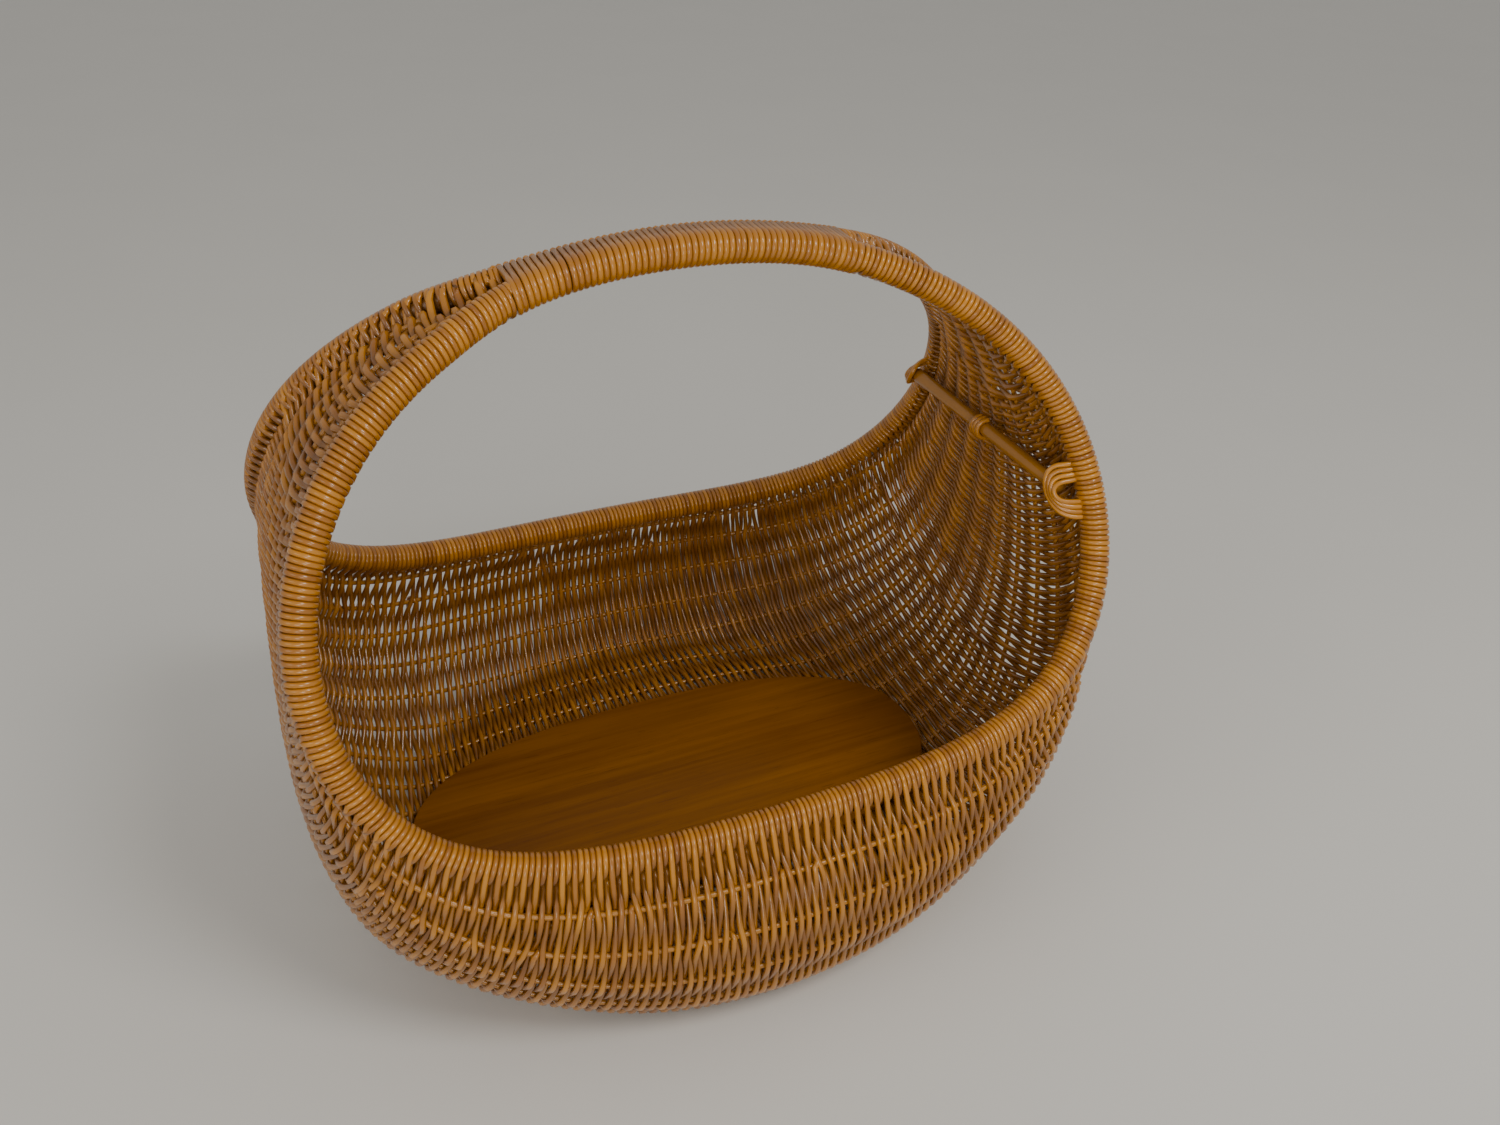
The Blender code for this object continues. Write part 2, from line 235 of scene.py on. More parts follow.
def row_of_weave(t):
    """A path on the weave's middle surface from the front hoop to the rear hoop."""
    mirrored = -1 if t > math.pi else 1
    t = math.pi - abs(math.pi - t)
    start = hoop_point(t, 1)
    share = np.interp(t, HOOP_TURNS, HOOP_LENGTHS) / HOOP_LENGTHS[-1]
    low_x = np.interp(share * SPINE_LENGTHS[-1], SPINE_LENGTHS, SPINE[:, 0])
    low_z = np.interp(share * SPINE_LENGTHS[-1], SPINE_LENGTHS, SPINE[:, 1])
    mid = min(max((math.sin(t / 2) ** 2 - 0.3) / 0.7, 0.0), 1.0)
    power = 2 / (ROUND_END + (ROUND_MIDDLE - ROUND_END) * mid)
    over = OVER_END + (OVER_MIDDLE - OVER_END) * mid
    angle = np.linspace(-over, over, 241)
    across = np.sign(angle) * np.abs(np.sin(angle)) ** power
    height = -np.sign(np.cos(angle)) * np.abs(np.cos(angle)) ** power
    sink = (height[-1] - height) / (height[-1] + 1)
    bulge = BELLY * 4 * sink * (1 - sink) * min(start[1] / 0.1, 1.0)
    x = start[0] + sink * (low_x - start[0])
    y = start[1] * across / across[-1] + np.sign(angle) * bulge
    z = rest_on_floor(start[2] + sink * (low_z - start[2]))
    return np.stack((mirrored * x, y, z), axis=1)


def unit(vectors):
    return vectors / np.maximum(np.linalg.norm(vectors, axis=-1, keepdims=True), 1e-12)


def rib_stride(offset):
    """How many rib spacings a rib has to itself past its shorter neighbours; the shortest ones stop sooner."""
    for every, stride in ((16, 16), (8, 8), (4, 4), (2, 2)):
        if offset % every == 0:
            return stride
    return 0.75


class WeaveSurface:
    """The weave's middle surface as a fine net, read at any row; one row of it is one turn round the rims."""

    STEPS = 161

    def __init__(self, pitch):
        half = int(round(HOOP_LENGTHS[-1] / pitch))
        turns = np.interp(np.linspace(0, HOOP_LENGTHS[-1], half + 1), HOOP_LENGTHS, HOOP_TURNS)
        self.turns = np.concatenate((turns, 2 * math.pi - turns[::-1][1:]))
        self.count = len(self.turns)
        self.share = np.linspace(0, 1, self.STEPS)
        points = []
        lengths = []
        for t in self.turns:
            row = row_of_weave(t)
            run = lengths_along(row)
            lengths.append(run[-1])
            points.append(np.stack([np.interp(self.share * run[-1], run, row[:, k]) for k in range(3)], axis=1))
        self.points = np.array(points)
        self.lengths = np.array(lengths)
        self.spacings = (self.lengths - 2 * RIM_INSET) / SPACINGS
        self.along = unit(np.gradient(self.points, axis=0))
        self.across = unit(np.gradient(self.points, axis=1))
        normals = unit(np.cross(self.along, self.across))
        if normals[self.count // 2, self.STEPS // 2, 2] > 0:
            normals = -normals
        self.normals = normals
        self.pitches = np.linalg.norm(np.gradient(self.points, axis=0), axis=2)[:, :, None]

    def rib_share(self, row, index):
        """The share of a row's length at which a rib crosses it; ribs are counted from 1 at the front."""
        length = np.interp(row, np.arange(self.count), self.lengths)
        spacing = (length - 2 * RIM_INSET) / SPACINGS
        return (RIM_INSET + spacing * (FIRST_RIB_SHARE + index - 1)) / length

    def ribs_of(self, row):
        """The ribs that have room on this row."""
        spacing = np.interp(row, np.arange(self.count), self.spacings)
        offsets = range(-RIBS_EACH_SIDE, RIBS_EACH_SIDE + 1)
        return [o + RIBS_EACH_SIDE + 1 for o in offsets if spacing * rib_stride(o) > RIB_ROOM]

    def at(self, rows, shares, what):
        """What the net holds at these rows, which need not be whole, and these shares of their lengths."""
        rows = np.clip(np.broadcast_to(np.asarray(rows, float), np.shape(shares)), 0, self.count - 1)
        table = getattr(self, what)
        spot = np.clip(np.asarray(shares), 0, 1) * (self.STEPS - 1)
        r = np.minimum(rows.astype(int), self.count - 2)
        c = np.minimum(spot.astype(int), self.STEPS - 2)
        v, u = (rows - r)[:, None], (spot - c)[:, None]
        near = table[r, c] * (1 - u) + table[r, c + 1] * u
        far = table[r + 1, c] * (1 - u) + table[r + 1, c + 1] * u
        return near * (1 - v) + far * v


# ---------------------------------------------------------------- mesh making


def deselect_all():
    if bpy.context.mode != "OBJECT":
        bpy.ops.object.mode_set(mode="OBJECT")
    for obj in bpy.context.scene.objects:
        obj.select_set(False)
    bpy.context.view_layer.objects.active = None


def tube(path, beside, radius, sides, tone, depth=None, start=0.0, cap=0.55):
    """One strand as a tube with rounded ends: points, faces, and what its finish reads."""
    path = np.asarray(path, float)
    count = len(path)
    heading = unit(np.gradient(path, axis=0))
    beside = unit(beside - np.sum(beside * heading, axis=1, keepdims=True) * heading)
    other = np.cross(heading, beside)
    run = lengths_along(path)
    angle = np.arange(sides) * 2 * math.pi / sides
    girth = np.broadcast_to(np.asarray(radius, float), (count,)).copy()
    c, s = np.cos(angle), np.sin(angle)
    ring = path[:, None, :] + girth[:, None, None] * (
        c[None, :, None] * beside[:, None, :] + s[None, :, None] * other[:, None, :]
    )
    tips = np.stack((path[0] - heading[0] * girth[0] * cap, path[-1] + heading[-1] * girth[-1] * cap))
    points = np.vstack((ring.reshape(-1, 3), tips))
    a = (np.arange(count - 1)[:, None] * sides + np.arange(sides)[None, :]).reshape(-1)
    b = (np.arange(count - 1)[:, None] * sides + (np.arange(sides)[None, :] + 1) % sides).reshape(-1)
    quads = np.stack((a, b, b + sides, a + sides), axis=1)
    k = np.arange(sides)
    first = count * sides
    last = (count - 1) * sides
    ends = np.vstack((
        np.stack((np.full(sides, first), (k + 1) % sides, k), axis=1),
        np.stack((np.full(sides, first + 1), last + k, last + (k + 1) % sides), axis=1),
    ))
    across = (girth[:, None] * c[None, :], girth[:, None] * s[None, :])
    space = np.stack(np.broadcast_arrays(*across, (start + run)[:, None]), axis=2).reshape(-1, 3)
    space = np.vstack((space, (0, 0, start), (0, 0, start + run[-1])))
    if depth is None:
        depth = np.ones(count)
    deep = np.concatenate((np.repeat(depth, sides), (depth[0], depth[-1])))
    return points, quads, ends, space, np.full(len(points), tone), deep


def set_attribute(mesh, label, values):
    """Give the mesh's points a value or a vector each, for the finish to read."""
    kind, field = ("FLOAT", "value") if values.ndim == 1 else ("FLOAT_VECTOR", "vector")
    mesh.attributes.new(label, kind, "POINT").data.foreach_set(field, values.astype(np.float32).ravel())


def piece_from_tubes(name, tubes, material):
    """One mesh object from many tubes, each face outwards, with the values that the finish reads."""
    points, quads, ends, space, tone, deep = [], [], [], [], [], []
    base = 0
    for p, q, e, s, t, d in tubes:
        points.append(p)
        quads.append(q + base)
        ends.append(e + base)
        space.append(s)
        tone.append(t)
        deep.append(d)
        base += len(p)
    points, quads, ends = np.vstack(points), np.vstack(quads), np.vstack(ends)
    mesh = bpy.data.meshes.new(name)
    mesh.vertices.add(len(points))
    mesh.vertices.foreach_set("co", points.astype(np.float32).ravel())
    loops = np.concatenate((quads.ravel(), ends.ravel()))
    mesh.loops.add(len(loops))
    mesh.loops.foreach_set("vertex_index", loops.astype(np.int32))
    starts = np.concatenate((np.arange(len(quads)) * 4, len(quads) * 4 + np.arange(len(ends)) * 3))
    mesh.polygons.add(len(starts))
    mesh.polygons.foreach_set("loop_start", starts.astype(np.int32))
    mesh.update(calc_edges=True)
    set_attribute(mesh, "strand_space", np.vstack(space))
    set_attribute(mesh, "tone", np.concatenate(tone))
    set_attribute(mesh, "depth", np.concatenate(deep))
    mesh.shade_smooth()
    mesh.validate()
    obj = bpy.data.objects.new(name, mesh)
    bpy.context.scene.collection.objects.link(obj)
    mesh.materials.append(material)
    return obj


def eased(stops, values, places):
    """Values between stops, level at each stop."""
    stops, values = np.asarray(stops), np.asarray(values)
    k = np.clip(np.searchsorted(stops, places, side="right") - 1, 0, len(stops) - 2)
    part = np.clip((places - stops[k]) / (stops[k + 1] - stops[k]), 0, 1)
    return values[k] + (values[k + 1] - values[k]) * (1 - np.cos(math.pi * part)) / 2


def over_and_under(stops, values, places, flat):
    """Values that leave each stop sooner than an even wave, so that strands lie together between the ribs."""
    stops, values = np.asarray(stops), np.asarray(values)
    k = np.clip(np.searchsorted(stops, places, side="right") - 1, 0, len(stops) - 2)
    part = np.clip((places - stops[k]) / (stops[k + 1] - stops[k]), 0, 1)
    wave = np.cos(math.pi * part)
    pull = (1 - flat) + flat * np.abs(wave)
    middle = (values[k] + values[k + 1]) / 2
    return middle + (values[k] - values[k + 1]) / 2 * wave * pull


# ---------------------------------------------------------------- finishes


def new_group(name, inputs, outputs):
    group = bpy.data.node_groups.new(name, "ShaderNodeTree")
    for label, kind, default in inputs:
        socket = group.interface.new_socket(label, in_out="INPUT", socket_type=kind)
        if default is not None:
            socket.default_value = default
    for label, kind in outputs:
        group.interface.new_socket(label, in_out="OUTPUT", socket_type=kind)
    nodes = group.nodes
    return group, nodes, group.links, nodes.new("NodeGroupInput"), nodes.new("NodeGroupOutput")


def add_math(nodes, links, operation, first, second, clamp=False):
    node = nodes.new("ShaderNodeMath")
    node.operation = operation
    node.use_clamp = clamp
    for socket, value in zip(node.inputs, (first, second)):
        if isinstance(value, (int, float)):
            socket.default_value = value
        else:
            links.new(value, socket)
    return node.outputs[0]


def add_colour_mix(nodes, links, factor, first, second, blend="MIX"):
    node = nodes.new("ShaderNodeMix")
    node.data_type = "RGBA"
    node.blend_type = blend
    for socket, value in ((node.inputs[0], factor), (node.inputs[6], first), (node.inputs[7], second)):
        if isinstance(value, (int, float, tuple)):
            socket.default_value = value
        else:
            links.new(value, socket)
    return node.outputs[2]


def add_noise(nodes, links, vector, stretch, detail=3.0, roughness=0.5):
    mapping = nodes.new("ShaderNodeMapping")
    mapping.inputs["Scale"].default_value = stretch
    links.new(vector, mapping.inputs["Vector"])
    noise = nodes.new("ShaderNodeTexNoise")
    noise.inputs["Scale"].default_value = 1.0
    noise.inputs["Detail"].default_value = detail
    noise.inputs["Roughness"].default_value = roughness
    links.new(mapping.outputs[0], noise.inputs["Vector"])
    return noise.outputs["Fac"]


def cane_group():
    """Varnished cane: strands of many tones, fibres along them, slow blotches, and painted shade in the
    crevices where the strands lie deep.
    """
    found = bpy.data.node_groups.get("Cane fibre")
    if found:
        return found
    group, nodes, links, given, out = new_group(
        "Cane fibre",
        (
            ("Strand space", "NodeSocketVector", None),
            ("Tone", "NodeSocketFloat", 0.5),
            ("Depth", "NodeSocketFloat", 1.0),
            ("Light", "NodeSocketColor", (0.5, 0.24, 0.06, 1)),
            ("Dark", "NodeSocketColor", (0.25, 0.1, 0.02, 1)),
            ("Crevice", "NodeSocketColor", (0.1, 0.03, 0.01, 1)),
        ),
        (("Colour", "NodeSocketColor"), ("Roughness", "NodeSocketFloat"), ("Height", "NodeSocketFloat")),
    )
    space = given.outputs["Strand space"]
    fibre = add_noise(nodes, links, space, (1500, 1500, 28), 2.0)
    blotch = add_noise(nodes, links, space, (90, 90, 16), 2.0)
    patch = add_noise(nodes, links, space, (20, 20, 5), 1.0)
    share = add_math(nodes, links, "MULTIPLY", given.outputs["Tone"], 0.75)
    share = add_math(nodes, links, "ADD", share, add_math(nodes, links, "MULTIPLY", blotch, 0.7))
    share = add_math(nodes, links, "ADD", share, add_math(nodes, links, "MULTIPLY", patch, 0.5))
    share = add_math(nodes, links, "ADD", share, add_math(nodes, links, "MULTIPLY", fibre, 0.35))
    share = add_math(nodes, links, "SUBTRACT", share, 0.62, clamp=True)
    colour = add_colour_mix(nodes, links, share, given.outputs["Dark"], given.outputs["Light"])
    # Painted shade: the colour darkens towards the crevice shade where Depth is low, deep in the weave.
    painted_shade_mix = add_math(nodes, links, "POWER", given.outputs["Depth"], 1.4, clamp=True)
    colour = add_colour_mix(nodes, links, painted_shade_mix, given.outputs["Crevice"], colour)
    links.new(colour, out.inputs["Colour"])
    rough = add_math(nodes, links, "MULTIPLY", fibre, 0.22)
    rough = add_math(nodes, links, "ADD", rough, add_math(nodes, links, "MULTIPLY", blotch, 0.16))
    links.new(add_math(nodes, links, "ADD", rough, 0.16), out.inputs["Roughness"])
    height = add_math(nodes, links, "ADD", fibre, add_math(nodes, links, "MULTIPLY", blotch, 0.8))
    links.new(height, out.inputs["Height"])
    return group


def cane_material(name, light, dark, crevice_shade, coat, bump):
    found = bpy.data.materials.get(name)
    if found:
        return found
    material = bpy.data.materials.new(name)
    material.use_nodes = True
    nodes, links = material.node_tree.nodes, material.node_tree.links
    shader = nodes["Principled BSDF"]
    group = nodes.new("ShaderNodeGroup")
    group.node_tree = cane_group()
    for label, attribute, output in (
        ("Strand space", "strand_space", "Vector"),
        ("Tone", "tone", "Fac"),
        ("Depth", "depth", "Fac"),
    ):
        reader = nodes.new("ShaderNodeAttribute")
        reader.attribute_name = attribute
        links.new(reader.outputs[output], group.inputs[label])
    group.inputs["Light"].default_value = (*light, 1)
    group.inputs["Dark"].default_value = (*dark, 1)
    group.inputs["Crevice"].default_value = (*crevice_shade, 1)
    links.new(group.outputs["Colour"], shader.inputs["Base Color"])
    links.new(group.outputs["Roughness"], shader.inputs["Roughness"])
    raised = nodes.new("ShaderNodeBump")
    raised.inputs["Strength"].default_value = bump
    raised.inputs["Distance"].default_value = 0.0002
    links.new(group.outputs["Height"], raised.inputs["Height"])
    links.new(raised.outputs[0], shader.inputs["Normal"])
    shader.inputs["Coat Weight"].default_value = coat
    shader.inputs["Coat Roughness"].default_value = 0.1
    return material


def woven_cane():
    finish = bpy.context.scene.basket_finish
    return cane_material("Woven cane", finish.cane_light, finish.cane_dark, finish.crevice_shade, 0.5, 0.6)


def smooth_pole():
    finish = bpy.context.scene.basket_finish
    dark = tuple(0.72 * value for value in finish.pole)
    return cane_material("Smooth rattan pole", finish.pole, dark, finish.crevice_shade, 0.3, 0.3)


def board_material():
    """Varnished plywood: lengthways grain, fine dark pores, and ply lines along the cut edge."""
    found = bpy.data.materials.get("Varnished plywood")
    if found:
        return found
    finish = bpy.context.scene.basket_finish
    material = bpy.data.materials.new("Varnished plywood")
    material.use_nodes = True
    nodes, links = material.node_tree.nodes, material.node_tree.links
    shader = nodes["Principled BSDF"]
    place = nodes.new("ShaderNodeTexCoord").outputs["Object"]
    grain = add_noise(nodes, links, place, (2.2, 34, 34), 4.0, 0.6)
    flame = add_noise(nodes, links, place, (3.0, 11, 11), 2.0)
    pores = add_noise(nodes, links, place, (26, 620, 620), 2.0)
    share = add_math(nodes, links, "MULTIPLY", grain, 0.9)
    share = add_math(nodes, links, "ADD", share, add_math(nodes, links, "MULTIPLY", flame, 0.8))
    streak = add_noise(nodes, links, place, (5, 150, 150), 3.0, 0.6)
    share = add_math(nodes, links, "ADD", share, add_math(nodes, links, "MULTIPLY", streak, 0.9))
    share = add_math(nodes, links, "SUBTRACT", share, 0.80, clamp=True)
    colour = add_colour_mix(nodes, links, share, (*finish.board_dark, 1), (*finish.board_light, 1))
    hole = add_math(nodes, links, "GREATER_THAN", pores, 0.66)
    hole = add_math(nodes, links, "MULTIPLY", hole, 0.35)
    colour = add_colour_mix(nodes, links, hole, colour, (0.07, 0.022, 0.004, 1))
    apart = nodes.new("ShaderNodeSeparateXYZ")
    links.new(place, apart.inputs[0])
    ply = add_math(nodes, links, "MULTIPLY", apart.outputs["Z"], 2 * math.pi / 0.003)
    ply = add_math(nodes, links, "SINE", ply, 0.0)
    ply = add_math(nodes, links, "GREATER_THAN", ply, 0.0)
    facing = nodes.new("ShaderNodeNewGeometry")
    upright = nodes.new("ShaderNodeSeparateXYZ")
    links.new(facing.outputs["True Normal"], upright.inputs[0])
    edge = add_math(nodes, links, "ABSOLUTE", upright.outputs["Z"], 0.0)
    edge = add_math(nodes, links, "LESS_THAN", edge, 0.4)
    ply = add_math(nodes, links, "MULTIPLY", add_math(nodes, links, "MULTIPLY", ply, edge), 0.6)
    colour = add_colour_mix(nodes, links, ply, colour, (0.06, 0.02, 0.004, 1))
    links.new(colour, shader.inputs["Base Color"])
    rough = add_math(nodes, links, "MULTIPLY", grain, 0.2)
    links.new(add_math(nodes, links, "ADD", rough, 0.26), shader.inputs["Roughness"])
    raised = nodes.new("ShaderNodeBump")
    raised.inputs["Strength"].default_value = 0.25
    raised.inputs["Distance"].default_value = 0.0002
    links.new(pores, raised.inputs["Height"])
    links.new(raised.outputs[0], shader.inputs["Normal"])
    shader.inputs["Specular IOR Level"].default_value = 0.2
    return material


# ---------------------------------------------------------------- the woven wall


def rim_turns(surface, row, end, side, wrap_r):
    """The strand's turn over a rim, from where it is tucked to where it leaves for the wall."""
    spot = np.full(1, 0.0 if end == 0 else 1.0)
    centre, along, normal, across = (
        surface.at(row, spot, what)[0] for what in ("points", "along", "normals", "across")
    )
    along = unit(along)
    away = across * (-1 if end == 0 else 1)
    away = unit(away - np.dot(away, along) * along)
    turns = np.linspace(-RIM_TUCK, RIM_LEAVE, 20)[:-1]
    loop = centre + wrap_r * (np.cos(turns)[:, None] * away + side * np.sin(turns)[:, None] * normal)
    loop = loop + (side * RIM_LEAN * turns / RIM_LEAVE)[:, None] * along
    shade = 1 - 0.55 * np.clip((np.abs(turns) - 1.3) / 1.2, 0, 1)
    beside = np.broadcast_to(along, loop.shape)
    if end == -1:
        return loop[::-1], beside, shade[::-1]
    return loop, beside, shade


def rib_turn(surface, row, share, out, side, weave, step):
    """A turned-back strand's quarter turn round the last rib it reaches, to meet the row beside it."""
    spot = np.full(5, share)
    centre, along, normal, across = (
        surface.at(row, spot, what) for what in ("points", "along", "normals", "across")
    )
    angle = np.linspace(0, math.pi / 2, 6)[1:, None]
    round_rib = np.cos(angle) * side * normal + np.sin(angle) * out * across
    loop = centre + weave * round_rib + step * angle / math.pi * along
    if out < 0:
        loop = loop[::-1]
    # Depth 0.9 paints a little shade on the turn round the rib.
    return loop, along, np.full(5, 0.9)


def strand_of_row(surface, strand, sizes, rng, sway):
    """One strand of the wall: in and out of the ribs, then round both rims or turned back short of them."""
    rim_row, wall_row, number, first, last, step, turned = strand
    strand_r = sizes.strand_diameter / 2
    wrap_r = sizes.pole_diameter / 2 + strand_r
    weave = (sizes.rib_diameter / 2 + strand_r) * WEAVE_PRESS
    front = 1 if number % 2 else -1
    ribs = surface.ribs_of(wall_row)
    sides = [-front * (-1) ** k for k in range(len(ribs))]
    rear = -sides[-1] if ribs else -front
    length = np.interp(wall_row, np.arange(surface.count), surface.lengths)
    reach = wrap_r * math.cos(RIM_REACH) / length
    side_height = wrap_r * math.sin(RIM_REACH)
    rib_shares = [surface.rib_share(wall_row, k) for k in ribs]
    stops = [reach] + rib_shares + [max(1 - reach, reach + 0.01)]
    values = [front * side_height] + [weave * side for side in sides] + [rear * side_height]
    slips = [sway_at(sway, wall_row, k) + rng.normal(0, SWAY_JITTER) for k in ribs]
    drift = [RIM_LEAN * front] + slips + [RIM_LEAN * rear]
    start, stop = 0, len(stops) - 1
    if turned:
        start, stop = first, len(stops) - 1 - last
    places = []
    for a, b in zip(stops[start:stop], stops[start + 1 : stop + 1]):
        steps = max(int(round((b - a) * length / WALL_STEP)), 3)
        places.extend(np.linspace(a, b, steps, endpoint=False))
    places = np.array(places + [stops[stop]])
    offset = over_and_under(stops, values, places, WEAVE_FLAT)
    rows = np.full(len(places), float(wall_row))
    if first and not turned:
        room = stops[2] - stops[1]
        near = np.clip((places - stops[first]) / (0.75 * room) + 0.55, 0, 1)
        far = np.clip((stops[-1 - last] - places) / (0.75 * room) + 0.55, 0, 1)
        rows += (rim_row - wall_row) * (1 - near**2 * (3 - 2 * near) + 1 - far**2 * (3 - 2 * far))
    beside = unit(surface.at(rows, places, "along"))
    wall = surface.at(rows, places, "points") + offset[:, None] * surface.at(rows, places, "normals")
    wall = wall + eased(stops, drift, places)[:, None] * beside
    # How far the strand stands out of the weave; where this is low, the finish paints shade.
    depth = np.clip(np.abs(offset) / weave, 0, 1)
    if not turned:
        before = rim_turns(surface, rim_row, 0, front, wrap_r)
        after = rim_turns(surface, rim_row, -1, rear, wrap_r)
    else:
        before = rib_turn(surface, wall_row, stops[start], -1, sides[start - 1], weave, step)
        after = rib_turn(surface, wall_row, stops[stop], 1, sides[stop - 1], weave, step)
    local = surface.at(rows, places, "pitches")[:, 0]
    crowd = GROUP_PITCH if first else 1.0
    fill = np.clip(local * crowd * 1.07 / sizes.strand_diameter, SWELL_LEAST, SWELL_MOST)
    fill = fill * (1.0 + 0.09 * depth)
    swell = np.concatenate((np.ones(len(before[0])), fill, np.ones(len(after[0]))))
    path = np.vstack((before[0], wall, after[0]))
    besides = np.vstack((before[1], beside, after[1]))
    # Depth for the painted shade: at most half shade on the wall, and the rim turns' own painted shade at the
    # ends.
    depth = np.concatenate((before[2], 0.5 + 0.5 * depth, after[2]))
    radius = strand_r * rng.uniform(0.97, 1.03) * swell
    return tube(path, besides, radius, sizes.strand_sides, rng.uniform(0, 1), depth, rng.uniform(0, 40))


def strands_of(surface, rng):
    """What each strand is: its rim row, its wall row and its number, how many ribs from each rim its
    group's extra strand turns back, the step between the extra strand's two passes, and whether it is
    one of those passes.

    The wall is longer than the rims, so ten strands lie side by side in it for every
    eight that turn round the rims: the other two are one strand turned back at the ribs.
    """
    wide = [row for row in range(surface.count) if len(surface.ribs_of(row)) > RIBS_FOR_EXTRA_STRANDS]
    groups = (wide[-1] - wide[0]) // RIM_TURNS_PER_GROUP
    low = (surface.count - RIM_TURNS_PER_GROUP * groups) // 2
    found = [(row, row, row, 0, 0, 0, False) for row in range(low)]
    number = low
    for group in range(groups):
        base = low + RIM_TURNS_PER_GROUP * group
        extra = 2 + int(rng.integers(0, 5))
        first, last = 1 + int(rng.integers(0, 2)), 1 + int(rng.integers(0, 2))
        rim = 0
        for k in range(WALL_ROWS_PER_GROUP):
            wall = base - 0.5 + GROUP_PITCH * (k + 0.5)
            if k in (extra, extra + 1):
                pitch = surface.pitches[int(wall), surface.STEPS // 2, 0]
                step = pitch * GROUP_PITCH * (1 if k == extra else -1)
                found.append((wall, wall, number, first, last, step, True))
            else:
                found.append((base + rim, wall, number, first, last, 0, False))
                rim += 1
            number += 1
    for row in range(low + RIM_TURNS_PER_GROUP * groups, surface.count):
        found.append((row, row, number, 0, 0, 0, False))
        number += 1
    return found


def weave_sway(surface, rng):
    """How far each place of the weave has slipped along its rib, in smooth patches."""
    knots = np.arange(0, surface.count + SWAY_ROWS, SWAY_ROWS)
    table = np.zeros((surface.count, RIB_COUNT + 1))
    patches = rng.normal(0, SWAY, (len(knots), RIB_COUNT + 1))
    patches = (patches + np.roll(patches, 1, axis=1)) / 1.4
    for k in range(RIB_COUNT + 1):
        table[:, k] = np.interp(np.arange(surface.count), knots, patches[:, k])
    return table


def sway_at(table, row, rib):
    return np.interp(row, np.arange(len(table)), table[:, rib])


SECTORS = ("right_shoulder", "right_end", "right_base", "left_base", "left_end", "left_shoulder")


class BASKET_OT_weave(bpy.types.Operator):
    """Weave the wall from hoop to hoop, each row wrapped over both rims"""

    bl_idname = "basket.weave"
    bl_label = "Woven wall"

    def execute(self, context):
        sizes = context.scene.basket_sizes
        surface = WeaveSurface(sizes.row_pitch)
        rng = np.random.default_rng(11)
        sway = weave_sway(surface, rng)
        material = woven_cane()
        plan = strands_of(surface, rng)
        strands = [strand_of_row(surface, strand, sizes, rng, sway) for strand in plan]
        bounds = np.linspace(0, len(strands), len(SECTORS) + 1).astype(int)
        for name, low, high in zip(SECTORS, bounds, bounds[1:]):
            piece = piece_from_tubes(f"weave_{name}", strands[low:high], material)
            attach(piece, "basket")
            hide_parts("woven_wall")
        return {"FINISHED"}


class BASKET_OT_ribs(bpy.types.Operator):
    """Lay the lengthways ribs, each ending where the band has no room for it"""

    bl_idname = "basket.ribs"
    bl_label = "Ribs"

    def execute(self, context):
        sizes = context.scene.basket_sizes
        surface = WeaveSurface(sizes.row_pitch)
        rng = np.random.default_rng(5)
        rods = []
        nodes = []
        for index in range(1, RIB_COUNT + 1):
            rows = [row for row in range(surface.count) if index in surface.ribs_of(row)]
            chosen = rows[::3] + ([] if (len(rows) - 1) % 3 == 0 else [rows[-1]])
            path = np.vstack([surface.at(row, [surface.rib_share(row, index)], "points") for row in chosen])
            beside = np.vstack([surface.at(row, [surface.rib_share(row, index)], "normals") for row in chosen])
            tone, start = rng.uniform(0.5, 1), rng.uniform(0, 40)
            rods.append(tube(path, beside, sizes.rib_diameter / 2, 8, tone, None, start, 0.1))
            offset = index - RIBS_EACH_SIDE - 1
            side = "rear" if offset > 0 else "front"
            nodes.append(f"rib_{side}_{abs(offset):02d}" if offset else "spine_rib")
        piece = piece_from_tubes("ribs", rods, smooth_pole())
        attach(piece, "basket")
        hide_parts(*nodes)
        return {"FINISHED"}


class BASKET_OT_hoops(bpy.types.Operator):
    """Bend the two hoops that make the rims and the handle"""

    bl_idname = "basket.hoops"
    bl_label = "Hoops"

    def execute(self, context):
        sizes = context.scene.basket_sizes
        for name, side in (("front_hoop", -1), ("rear_hoop", 1)):
            turns = np.linspace(0, 2 * math.pi, 181)[:-1]
            deselect_all()
            bpy.ops.curve.primitive_bezier_circle_add(radius=1, location=(0, 0, 0))
            obj = context.active_object
            obj.name = name
            curve = obj.data
            curve.splines.clear()
            spline = curve.splines.new("POLY")
            spline.points.add(len(turns) - 1)
            for point, turn in zip(spline.points, turns):
                point.co = (*hoop_point(turn, side), 1)
            spline.use_cyclic_u = True
            curve.bevel_depth = sizes.pole_diameter / 2 - 0.0002
            curve.bevel_resolution = 3
            bpy.ops.object.convert(target="MESH")
            obj = context.active_object
            mesh = obj.data
            mesh.shade_smooth()
            places = np.empty(len(mesh.vertices) * 3, np.float32)
            mesh.vertices.foreach_get("co", places)
            set_attribute(mesh, "strand_space", places.reshape(-1, 3))
            # Depth 0.45 paints shade over much of the hoop, which shows only in the gaps between the wraps.
            for label, value in (("tone", 0.4), ("depth", 0.45)):
                set_attribute(mesh, label, np.full(len(mesh.vertices), value))
            mesh.materials.append(smooth_pole())
            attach(obj, "basket")
            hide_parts(f"{name.split('_')[0]}_rim_hoop")
        return {"FINISHED"}


